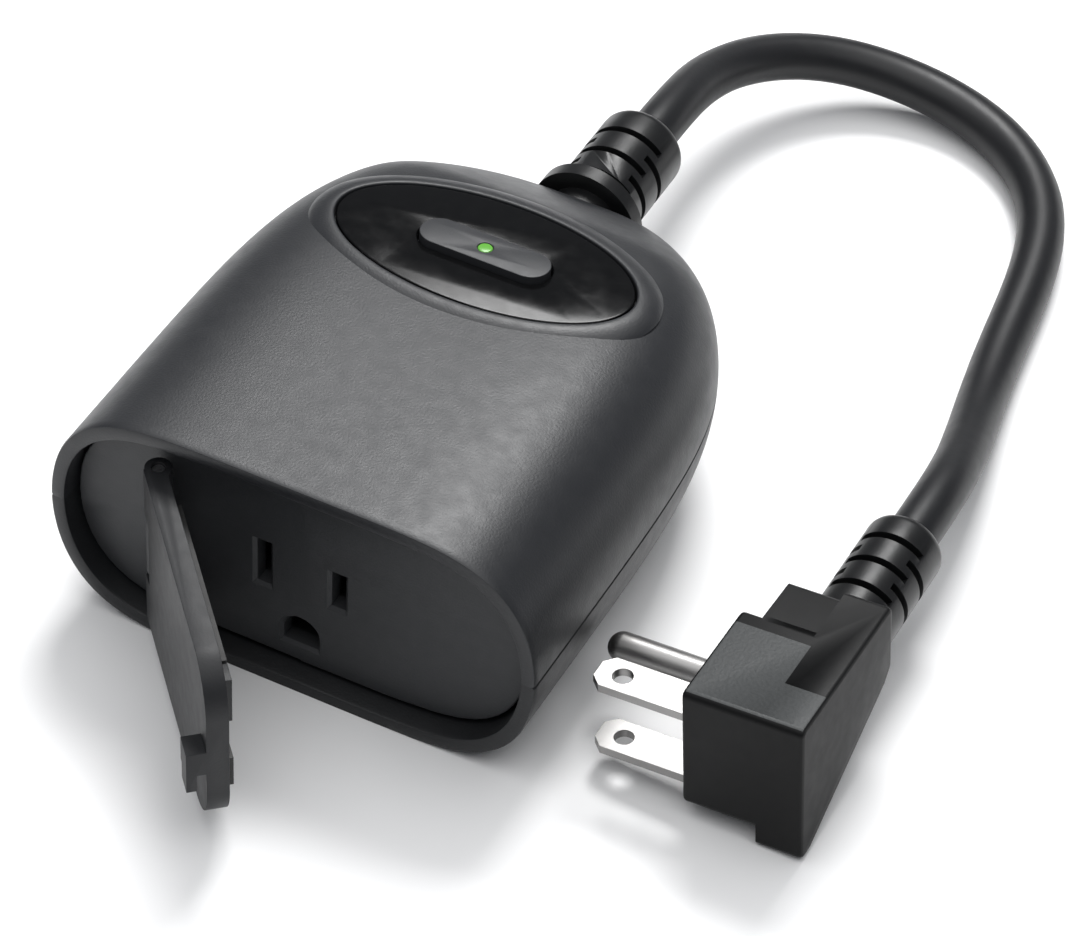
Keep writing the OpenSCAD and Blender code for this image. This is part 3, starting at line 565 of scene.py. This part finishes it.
def recess(bm, x, y, radius, seat):
    """Opens a round recess in the base, up to a seat with a clearance hole."""
    centre = Vector((x, y))
    patch = [f for f in bm.faces if f.calc_center_median().z < 9
             and (f.calc_center_median().xy - centre).length < radius + 1.0]
    bmesh.ops.delete(bm, geom=patch, context="FACES")
    rim = [e for e in bm.edges if e.is_boundary and e.verts[0].co.z < 9
           and ((e.verts[0].co + e.verts[1].co).xy / 2 - centre).length < radius + 2.6]
    ring = bmesh.ops.create_circle(bm, segments=64, radius=radius,
                                   matrix=Matrix.Translation((x, y, 0)))["verts"]
    for v in ring:
        v.co.z = under(v.co.x, v.co.y)
    edges = list({e for v in ring for e in v.link_edges})
    bmesh.ops.bridge_loops(bm, edges=rim + edges)
    for new_radius, height in ((radius - 0.25, 0.25), (radius - 0.25, None), (SCREW_HOLE_R, None)):
        made = bmesh.ops.extrude_edge_only(bm, edges=edges)["geom"]
        edges = [g for g in made if isinstance(g, bmesh.types.BMEdge)]
        for v in {v for e in edges for v in e.verts}:
            out = (v.co.xy - centre).normalized() * new_radius
            v.co = Vector((x + out.x, y + out.y, seat if height is None else v.co.z + height))


base_bm = half_shell(-1)
for x, y, seat in SCREWS:
    recess(base_bm, x, y, SCREW_RECESS_R, seat)
bmesh.ops.recalc_face_normals(base_bm, faces=base_bm.faces)
lowest = min(base_bm.faces, key=lambda f: f.calc_center_median().length)
if lowest.normal.z > 0:
    bmesh.ops.reverse_faces(base_bm, faces=base_bm.faces)
bmesh.ops.scale(base_bm, vec=(MM, MM, MM), verts=base_bm.verts)
put(base_bm, "bottom_shell", ["lower_shell"], [base_plastic], sharp=40)

# %% [markdown]
# ## The outlet face
#
# The face is a flat moulded plate. Its two slots and the ground hole have a sloped lead-in that guides the
# plug's pins, so those edges get a wide single bevel and the outer edge a small round.

# %% Outlet face
plate_low, plate_high = box_mm("outlet_plate")
PLATE_Y = plate_high.y - 3.0
face_bm = copy_of("outlet_plate")


def at_slot(e):
    """Edges of the slots and of the ground hole on the plate's front."""
    return all(abs(v.co.y / MM - PLATE_Y) < 0.01 and abs(v.co.x / MM) < 11 for v in e.verts)


round_edges(face_bm, 0.55, 1, 40, False, at_slot)
round_edges(face_bm, 0.25, 2, 50, True, lambda e: abs(e.verts[0].co.x / MM) > 12)
put(face_bm, "outlet_face", ["outlet_plate"], [face_plastic])

# %% [markdown]
# ## Cover, panel, button and light
#
# The cover is a thick flap with a finger lip at its free end. The panel is glossy, the button on it is matt
# with generous rounds, and the light is a small clear pin that shows green at its end.

# %% Cover, panel, button and light
rounded("outlet_cover", cover_plastic, 0.45, 3, 35, True, "cover")
rounded("control_panel", panel_plastic, 0.3, 3, 35, True)
rounded("button", button_plastic, 0.55, 4, 60, True, "button")
rounded("light_guide", lens_green, 0.3, 3, 60, True, "button")

# %% [markdown]
# ## Strain reliefs and plug
#
# The strain reliefs are soft rubber sleeves with staggered slots that let them bend with the cord. The plug
# is one moulded block. Part of its top carries a coarse grip texture, which its finish paints by place.

# %% Strain reliefs
rounded("body_boot", boot_rubber, 0.22, 2, 45, True)
rounded("plug_boot", boot_rubber, 0.22, 2, 45, True)

# %% Plug
plug_bm = copy_of("plug_body")
outwards = -Vector([m for m in record["mounts"] if m["name"] == "plug_face"][0]["axis"])
depths = [v.co.dot(outwards) for v in plug_bm.verts]


def on_end(e):
    """Edges of the plug's face and of its back, which are closed outlines."""
    return any(all(abs(v.co.dot(outwards) - end) < 1e-5 for v in e.verts)
               for end in (min(depths), max(depths)))


round_edges(plug_bm, 0.7, 4, 50, False, on_end)


def math_node(tree, kind, a, b):
    """A Math node on two values, each a number or an output."""
    node = tree.nodes.new("ShaderNodeMath")
    node.operation = kind
    for socket, value in zip(node.inputs, (a, b)):
        if isinstance(value, float):
            socket.default_value = value
        else:
            tree.links.new(value, socket)
    return node.outputs[0]


def add_grip(finish, front, face):
    """Paints the coarse grip texture on the plug's top: beside the pins, and across the free end."""
    tree = finish.node_tree
    shader = tree.nodes["Principled BSDF"]
    where = tree.nodes.new("ShaderNodeTexCoord").outputs["Object"]
    depth = tree.nodes.new("ShaderNodeVectorMath")
    depth.operation = "DOT_PRODUCT"
    depth.inputs[1].default_value = outwards
    tree.links.new(where, depth.inputs[0])
    split = tree.nodes.new("ShaderNodeSeparateXYZ")
    tree.links.new(where, split.inputs[0])
    facing = tree.nodes.new("ShaderNodeSeparateXYZ")
    tree.links.new(tree.nodes.new("ShaderNodeNewGeometry").outputs["True Normal"], facing.inputs[0])
    beside = math_node(tree, "MULTIPLY",
                       math_node(tree, "LESS_THAN", depth.outputs["Value"], face + 12.5 * MM),
                       math_node(tree, "LESS_THAN", split.outputs["Y"], front + 17.5 * MM))
    region = math_node(tree, "MAXIMUM", beside,
                       math_node(tree, "LESS_THAN", split.outputs["Y"], front + 8.6 * MM))
    region = math_node(tree, "MULTIPLY", region,
                       math_node(tree, "GREATER_THAN", facing.outputs["Z"], 0.9))
    region = math_node(tree, "MULTIPLY", region, math_node(tree, "GREATER_THAN", split.outputs["Z"], 0.02))
    coarse = cloud(tree, where, 1900, 2)
    old = shader.inputs["Base Color"].links[0].from_socket
    mix = tree.nodes.new("ShaderNodeMix")
    mix.data_type = "RGBA"
    tree.links.new(region, mix.inputs["Factor"])
    tree.links.new(old, mix.inputs["A"])
    tree.links.new(tint(tree, coarse, (0.05, 0.0525, 0.053), (0.072, 0.075, 0.076)), mix.inputs["B"])
    tree.links.new(mix.outputs["Result"], shader.inputs["Base Color"])
    bump(tree, shader, math_node(tree, "MULTIPLY", coarse, region), 0.00008)


add_grip(plug_plastic, min(v.co.y for v in plug_bm.verts), min(depths))
put(plug_bm, "plug_block", ["plug_body"], [plug_plastic])
for node in ("live_blade", "neutral_blade"):
    rounded(node, nickel, 0.22, 2, 50, True)
rounded("ground_pin", nickel, 0.1, 1, 60, True)

import json
